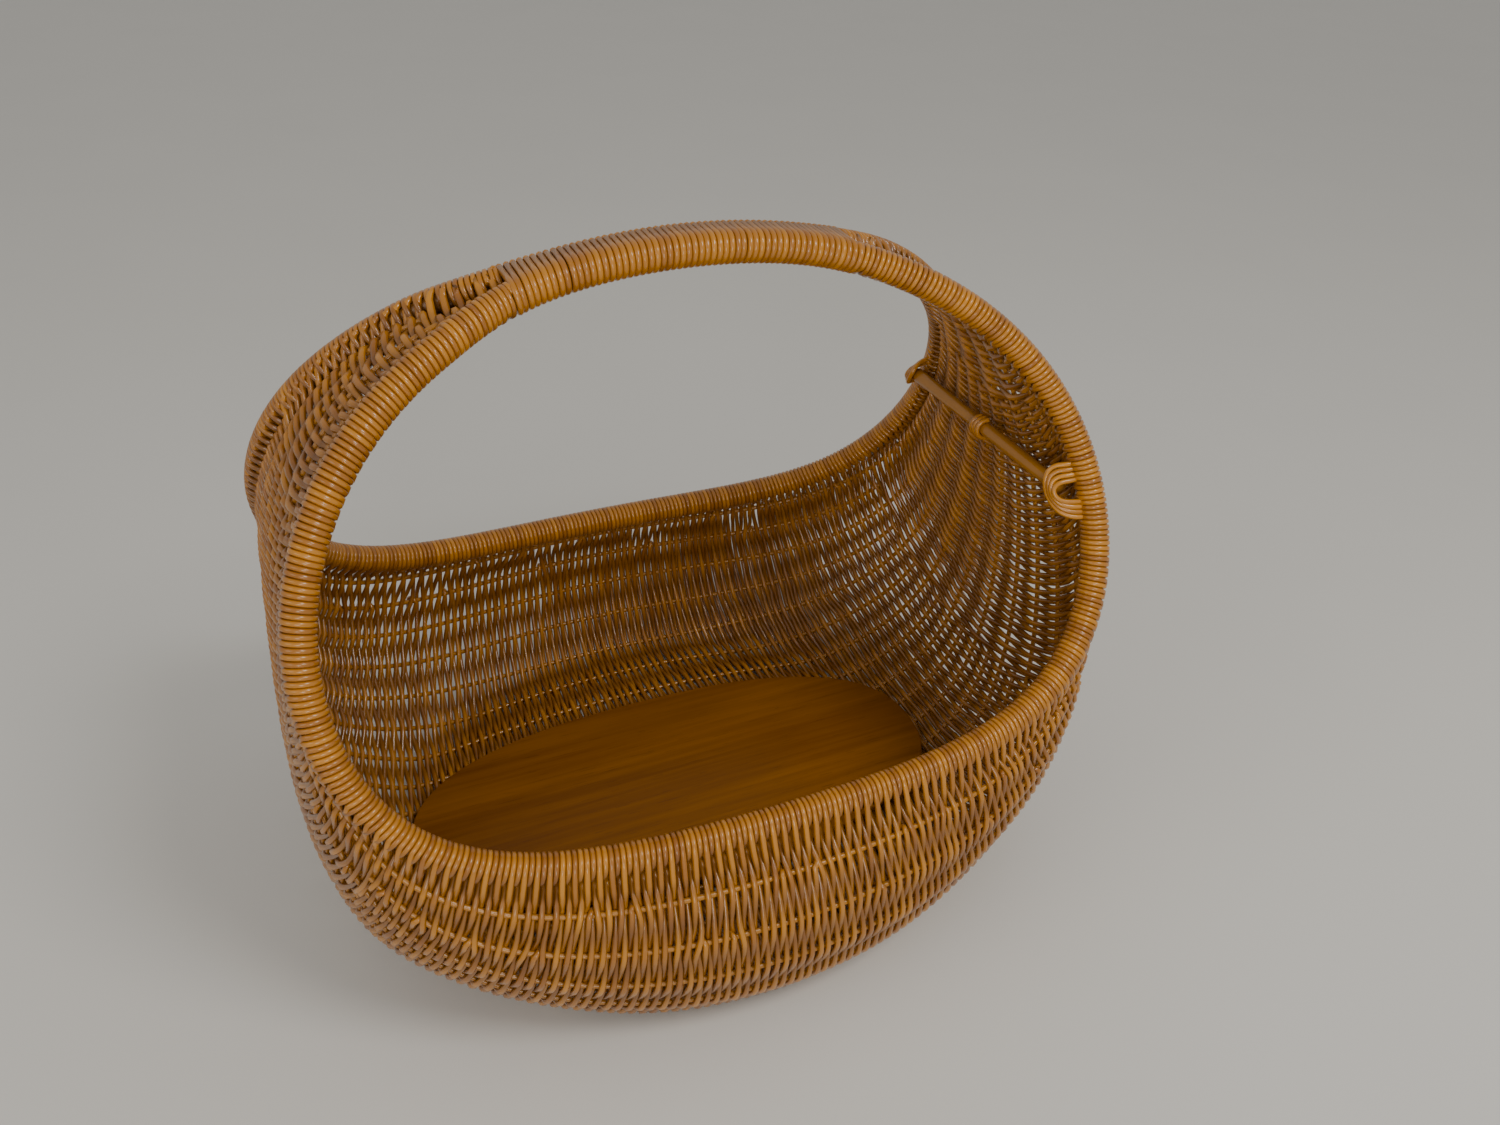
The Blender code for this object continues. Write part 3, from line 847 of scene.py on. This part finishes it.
class BASKET_OT_handle(bpy.types.Operator):
    """Wind one strand round both hoops, close together, to make the handle"""

    bl_idname = "basket.handle"
    bl_label = "Handle binding"

    def execute(self, context):
        sizes = context.scene.basket_sizes
        rng = np.random.default_rng(3)
        strand_r = sizes.strand_diameter / 2 * 1.1
        wrap_r = sizes.pole_diameter / 2 + strand_r
        dense = np.linspace(-WRAP_END_T - 0.018, WRAP_END_T + 0.018, 200)
        run = lengths_along(np.array([hoop_point(t, 1) for t in dense]))
        turns = int(round(run[-1] / sizes.handle_pitch))
        arc = np.linspace(math.pi / 2, -math.pi / 2, 11)
        path, beside = [], []
        cuts = [0]
        for turn in range(turns):
            wobble = rng.normal(0, 0.00015)
            for side in (1, -1):
                for k, a in enumerate(arc):
                    part = (turn + (0.5 if side < 0 else 0) + 0.44 * k / (len(arc) - 1)) / turns
                    t = np.interp(part * run[-1], run, dense)
                    tangent = unit(hoop_point(t + 0.01, 1) - hoop_point(t - 0.01, 1))
                    tangent = unit(tangent * (1, 0, 1))
                    up = np.cross(tangent, (0, 1, 0))
                    if up[2] < 0:
                        up = -up
                    sideways = side * math.cos(a) * np.array((0, 1, 0))
                    place = hoop_point(t, side) + wrap_r * (sideways + side * math.sin(a) * up)
                    path.append(place + wobble * tangent)
                    beside.append(tangent)
            cuts.append(len(path))
        strands = []
        for low, high in zip(cuts, cuts[1:]):
            stop = min(high + 1, len(path))
            tone, start = rng.uniform(0.2, 0.8), rng.uniform(0, 40)
            winding = np.array(path[low:stop]), np.array(beside[low:stop])
            strands.append(tube(*winding, strand_r, 8, tone, None, start, 0.0))
        piece = piece_from_tubes("handle_binding", strands, woven_cane())
        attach(piece, "basket")
        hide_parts("handle_wrap")
        return {"FINISHED"}


class BASKET_OT_brace(bpy.types.Operator):
    """Set a smooth pole across the right end, inside the basket"""

    bl_idname = "basket.brace"
    bl_label = "End brace"

    def execute(self, context):
        low, high = (Vector(corner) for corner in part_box("right_brace"))
        middle = (low + high) / 2
        radius = (high.z - low.z) / 2
        reach = high.y - radius - 0.010
        y = np.linspace(-reach, reach, 60)
        swell = 1 - 0.02 * np.sin(y * 40) + 0.05 * np.exp(-(((y - 0.052) / 0.004) ** 2))
        path = np.stack((np.full(60, middle.x), y, np.full(60, middle.z)), axis=1)
        beside = np.tile((1.0, 0, 0), (60, 1))
        pole = tube(path, beside, radius * 0.985 * swell, 20, 0.6, None, 3.0, 0.12)
        piece = piece_from_tubes("brace_pole", [pole], smooth_pole())
        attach(piece, "basket")
        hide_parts("right_brace")
        return {"FINISHED"}


def belt(centre, radius, other, other_radius, samples=28):
    """A closed loop round two round bars seen end on, as points in their plane."""
    gap = other - centre
    reach = np.linalg.norm(gap)
    heading = gap / reach
    sideways = np.array((-heading[1], heading[0]))
    tilt = math.acos(max(min((radius - other_radius) / reach, 1), -1))

    def arc(middle, r, angles):
        return [middle + r * (math.cos(a) * heading + math.sin(a) * sideways) for a in angles]

    first = arc(centre, radius, np.linspace(tilt, 2 * math.pi - tilt, samples))
    return np.array(first + arc(other, other_radius, np.linspace(-tilt, tilt, samples // 2)))


class BASKET_OT_lashings(bpy.types.Operator):
    """Lash the brace to both hoops and to the spine rib"""

    bl_idname = "basket.lashings"
    bl_label = "Brace lashings"

    def execute(self, context):
        sizes = context.scene.basket_sizes
        rng = np.random.default_rng(21)
        strand_r = sizes.strand_diameter / 2
        low, high = (Vector(corner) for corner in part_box("right_brace"))
        middle = (low + high) / 2
        pole_r = (high.z - low.z) / 2
        hug = pole_r + strand_r
        spine_x = np.interp(-middle.z, -SPINE[:, 1], SPINE[:, 0])
        loops = []
        for k, y in enumerate((-0.0055, -0.0008, 0.0042)):
            ring = belt(np.array((middle.x, middle.z)), hug, np.array((spine_x, middle.z + 0.001 * k)), 0.0052)
            path = np.stack((ring[:, 0], np.full(len(ring), y), ring[:, 1]), axis=1)
            path[:, 1] += 0.0012 * np.sin(np.linspace(0, 2 * math.pi, len(ring)))
            beside = np.tile((0.0, 1, 0), (len(ring), 1))
            loops.append(tube(path, beside, strand_r, 7, rng.uniform(0.4, 1), None, rng.uniform(0, 40), 0.1))
        piece = piece_from_tubes("spine_lashing", loops, woven_cane())
        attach(piece, "basket")
        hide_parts("right_brace_spine_binding")
        above, below = hoop_point(BRACE_T - 0.06, 1), hoop_point(BRACE_T + 0.06, 1)
        slope = (above[1] - below[1]) / (above[2] - below[2])
        for side, end in ((-1, "front"), (1, "rear")):
            hoop_y = side * (high.y - pole_r)
            bands = []
            hoop_x = hoop_point(BRACE_T, 1)[0]
            a = np.linspace(-math.pi / 2, math.pi / 2, 27)
            for k in range(4 if side < 0 else 3):
                out = 0.0050 + 0.0036 * k
                tall = 0.0085 + (0.0042 if side < 0 else 0.0030) * k
                rim_x = hoop_x - sizes.pole_diameter / 2 - strand_r
                inner_x = middle.x - hug - 0.0004 * k
                x = rim_x + (inner_x - rim_x) * np.sqrt(np.clip(np.cos(a), 0, 1))
                y = hoop_y - side * out * np.cos(a)
                z = middle.z + tall * np.sin(a)
                path = np.stack((x, y, z), axis=1)
                root = np.array((hoop_x - 0.003, hoop_y + side * 0.001, 0))
                low_root = root + (0, 0, z[0] - 0.001)
                high_root = root + (0, 0, z[-1] + 0.001)
                path = smooth_path(np.vstack((low_root, path[1:-1:3], high_root)), 5)
                path[:, 1] += side * slope * (path[:, 2] - middle.z)
                beside = unit(np.gradient(path, axis=0))
                beside = np.cross(beside, (1.0, 0.0, 0.0)) + (1e-4, 0, 0)
                bands.append(tube(path, beside, strand_r, 7, rng.uniform(0.4, 1), None, rng.uniform(0, 40)))
            piece = piece_from_tubes(f"{end}_lashing", bands, woven_cane())
            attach(piece, "basket")
            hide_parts(f"right_brace_{end}_binding")
        return {"FINISHED"}


class BASKET_OT_board(bpy.types.Operator):
    """Cut the loose plywood floor board, with its edges eased"""

    bl_idname = "basket.board"
    bl_label = "Floor board"

    def execute(self, context):
        low, high = (Vector(corner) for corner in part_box("floor_board"))
        deselect_all()
        bpy.ops.mesh.primitive_circle_add(vertices=160, radius=1, fill_type="NGON", location=(0, 0, 0))
        obj = context.active_object
        obj.name = "plywood_board"
        for vertex in obj.data.vertices:
            a = math.atan2(vertex.co.y, vertex.co.x)
            c, s = math.cos(a), math.sin(a)
            vertex.co.x = high.x * math.copysign(abs(c) ** (2 / BOARD_POWER), c)
            vertex.co.y = high.y * math.copysign(abs(s) ** (2 / BOARD_POWER), s)
            vertex.co.z = low.z
        bpy.ops.object.mode_set(mode="EDIT")
        bpy.ops.mesh.select_all(action="SELECT")
        bpy.ops.mesh.extrude_region_move(TRANSFORM_OT_translate={"value": (0, 0, high.z - low.z)})
        bpy.ops.mesh.select_all(action="SELECT")
        bpy.ops.mesh.normals_make_consistent(inside=False)
        bpy.ops.object.mode_set(mode="OBJECT")
        bevel = obj.modifiers.new("Eased edge", "BEVEL")
        bevel.width = 0.0012
        bevel.segments = 3
        bevel.limit_method = "ANGLE"
        bevel.angle_limit = math.radians(50)
        bpy.ops.object.modifier_apply(modifier=bevel.name)
        bpy.ops.object.shade_smooth_by_angle(angle=math.radians(35))
        obj.data.materials.append(board_material())
        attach(obj, "board")
        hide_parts("floor_board")
        return {"FINISHED"}


class BASKET_OT_stage(bpy.types.Operator):
    """Set the pale floor, the soft lights and the camera"""

    bl_idname = "basket.stage"
    bl_label = "Stage"

    def execute(self, context):
        stage = context.scene.basket_stage
        deselect_all()
        bpy.ops.mesh.primitive_plane_add(size=14, location=(0, 2.0, 0))
        floor = context.active_object
        floor.name = "studio_floor"
        bpy.ops.object.transform_apply(location=True, rotation=True, scale=True)
        bpy.ops.object.mode_set(mode="EDIT")
        bpy.ops.mesh.subdivide(number_cuts=1)
        bpy.ops.object.mode_set(mode="OBJECT")
        material = bpy.data.materials.new("Pale floor")
        material.use_nodes = True
        nodes, links = material.node_tree.nodes, material.node_tree.links
        shader = nodes["Principled BSDF"]
        place = nodes.new("ShaderNodeTexCoord").outputs["Object"]
        mottle = add_noise(nodes, links, place, (3, 3, 3), 4.0)
        dark = tuple(0.96 * value for value in stage.floor_colour)
        mottled = add_colour_mix(nodes, links, mottle, (*dark, 1), (*stage.floor_colour, 1))
        links.new(mottled, shader.inputs["Base Color"])
        shader.inputs["Roughness"].default_value = 0.7
        floor.data.materials.append(material)
        world = bpy.data.worlds.new("Studio")
        context.scene.world = world
        world.use_nodes = True
        world.node_tree.nodes["Background"].inputs["Color"].default_value = (1.0, 0.965, 0.91, 1)
        world.node_tree.nodes["Background"].inputs["Strength"].default_value = 0.50
        for name, place, aim, size, power in (
            ("Key", (0.9, -1.6, 2.6), (0, 0, 0.2), 1.0, stage.key_power),
            ("Fill", (-2.4, -0.8, 1.6), (0, 0, 0.25), 1.8, stage.fill_power),
            ("Front", (-0.7, -2.4, 0.9), (0, 0, 0.1), 1.0, stage.front_power),
        ):
            bpy.ops.object.light_add(type="AREA", location=place)
            light = context.active_object
            light.name = name
            light.data.shape = "DISK"
            light.data.size = size
            light.data.energy = power
            light.data.color = (1.0, 0.95, 0.88)
            light.rotation_euler = (Vector(aim) - Vector(place)).to_track_quat("-Z", "Y").to_euler()
        bpy.ops.object.camera_add(location=(-0.3365, -0.8562, 0.92))
        camera = context.active_object
        turn = Matrix.Rotation(math.radians(-25.36), 4, "Z") @ Matrix.Rotation(math.radians(56.05), 4, "X")
        turn = turn @ Matrix.Rotation(math.radians(2.556), 4, "Z")
        camera.rotation_euler = turn.to_euler()
        camera.data.sensor_width = 36.0
        camera.data.lens = 29.0
        context.scene.camera = camera
        return {"FINISHED"}


class BASKET_PT_panel(bpy.types.Panel):
    """Pieces of the basket, in the order they are made"""

    bl_label = "Wicker Pet Basket"
    bl_idname = "BASKET_PT_panel"
    bl_space_type = "VIEW_3D"
    bl_region_type = "UI"
    bl_category = "Basket"

    def draw(self, context):
        layout = self.layout
        for group in (context.scene.basket_sizes, context.scene.basket_finish, context.scene.basket_stage):
            box = layout.box()
            for name in group.__annotations__:
                box.prop(group, name)
        for operator in OPERATORS:
            layout.operator(operator.bl_idname)


OPERATORS = (
    BASKET_OT_hoops,
    BASKET_OT_ribs,
    BASKET_OT_weave,
    BASKET_OT_handle,
    BASKET_OT_brace,
    BASKET_OT_lashings,
    BASKET_OT_board,
    BASKET_OT_stage,
)
CLASSES = (BasketSizes, BasketFinish, BasketStage, *OPERATORS, BASKET_PT_panel)


def register():
    for cls in CLASSES:
        bpy.utils.register_class(cls)
    bpy.types.Scene.basket_sizes = PointerProperty(type=BasketSizes)
    bpy.types.Scene.basket_finish = PointerProperty(type=BasketFinish)
    bpy.types.Scene.basket_stage = PointerProperty(type=BasketStage)


def unregister():
    del bpy.types.Scene.basket_stage
    del bpy.types.Scene.basket_finish
    del bpy.types.Scene.basket_sizes
    for cls in reversed(CLASSES):
        bpy.utils.unregister_class(cls)


def main():
    register()
    deselect_all()
    for operator in OPERATORS:
        getattr(bpy.ops.basket, operator.bl_idname.split(".")[1])()
    deselect_all()


if __name__ == "__main__":
    main()
